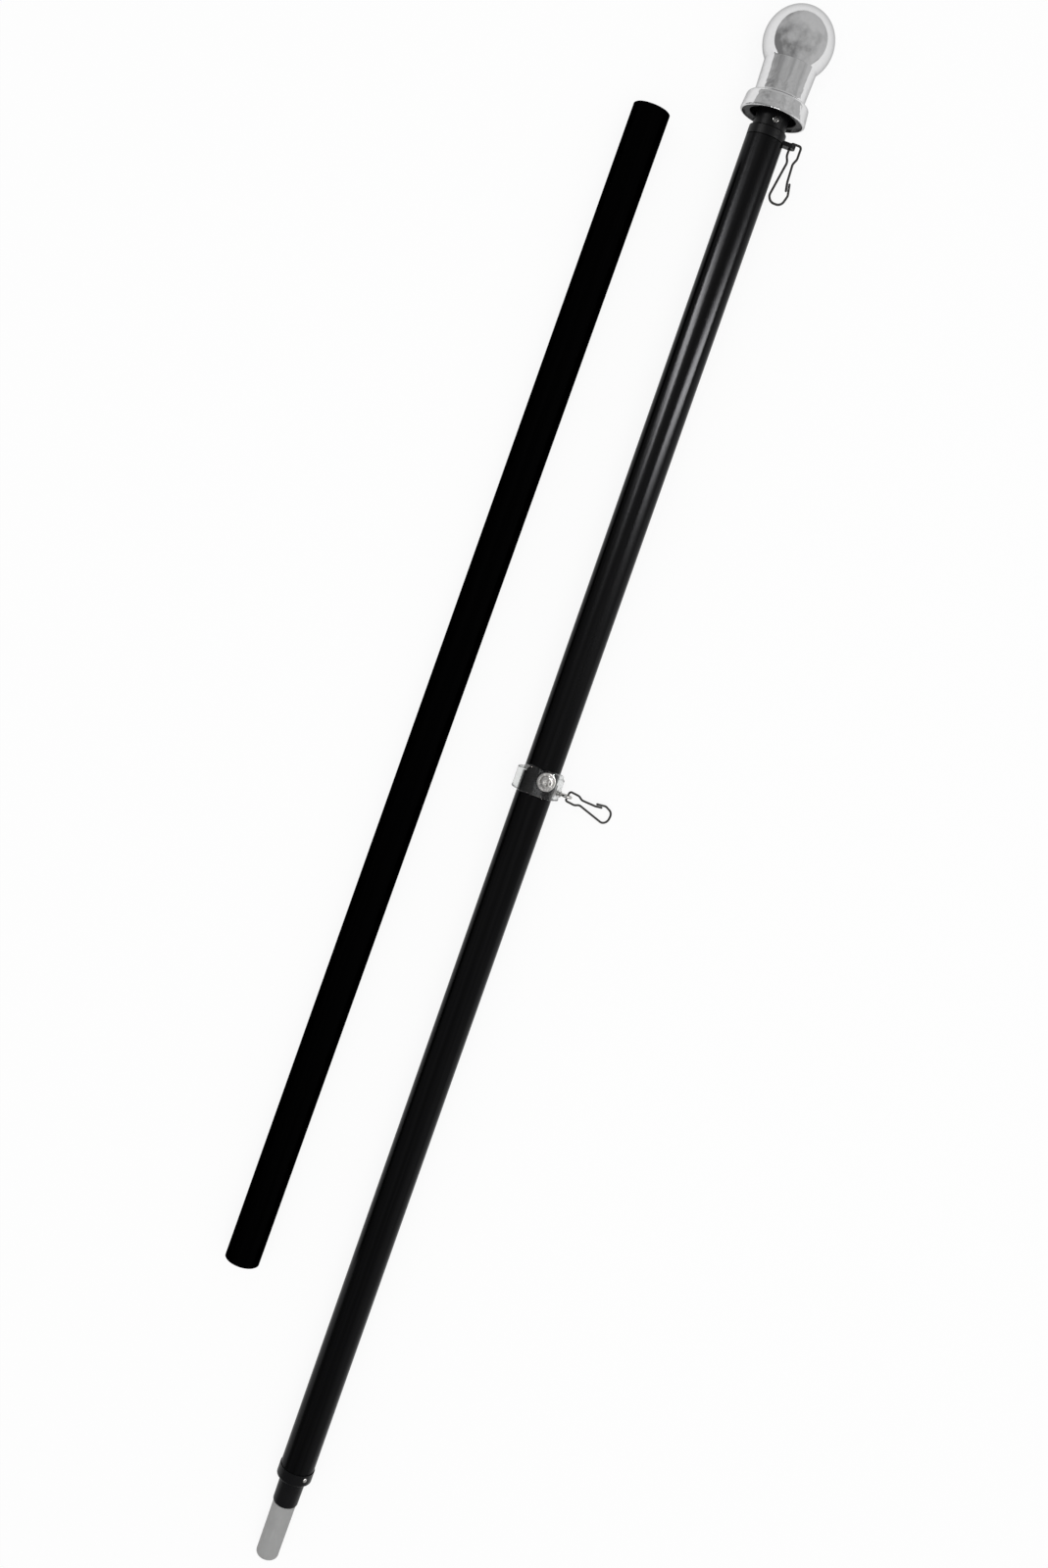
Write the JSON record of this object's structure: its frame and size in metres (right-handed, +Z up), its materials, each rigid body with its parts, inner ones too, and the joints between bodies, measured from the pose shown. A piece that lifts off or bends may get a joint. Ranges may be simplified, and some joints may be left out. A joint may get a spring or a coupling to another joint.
{
  "type": "two-section house flagpole",
  "caption": "Black two-section house flagpole laid apart: upper tube with mirror ball, turning spindle, clear clamp ring and wire flag clips, beside its plain lower tube.",
  "frame": {"origin": "on the floor under the middle of the overall box", "axes": "+Y along the pole towards the ball, +Z up from the floor, +X across, from the lower tube to the upper section"},
  "size_m": [0.1584, 1.1491, 0.0469],
  "materials": {
    "black_tube": "satin",
    "black_plastic": "satin",
    "mirror_metal": "polished",
    "bright_steel": "polished",
    "grey_plastic": "matte",
    "clear_plastic": "gloss"
  },
  "bodies": {
    "pole": {"upper_tube": "black_tube", "top_plug": "black_plastic", "ball_finial": "mirror_metal", "neck_screw": "bright_steel", "bottom_collar": "black_plastic", "collar_rivet": "bright_steel", "lower_tube": "black_tube"},
    "spindle": {"spindle_peg": "grey_plastic", "joint_sleeve": "black_plastic"},
    "ring": {"clamp_ring": "clear_plastic", "clamp_screw": "bright_steel", "ring_eye": "bright_steel"},
    "top_snap": {"top_clip": "bright_steel"},
    "ring_snap": {"ring_clip": "bright_steel"}
  },
  "joints": [
    {"name": "spindle_spin", "type": "hinge", "parent": "pole", "child": "spindle", "pos_m": [0.02076, -0.499, 0.01328], "axis": [0, 1, 0.0097], "continuous": true},
    {"name": "ring_slide", "type": "slide", "parent": "pole", "child": "ring", "axis": [0, 1, 0.0097], "range_m": [-0.522, 0.348]},
    {"name": "top_clip_swing", "type": "hinge", "parent": "pole", "child": "top_snap", "pos_m": [0.03806, 0.48885, 0.02285], "axis": [0, 1, 0.0097], "range_deg": [-95, 95]},
    {"name": "ring_clip_swing", "type": "hinge", "parent": "ring", "child": "ring_snap", "pos_m": [0.04516, 0.03449, 0.01713], "axis": [0.439, -0.0087, 0.8985], "range_deg": [-64, 85]}
  ]
}
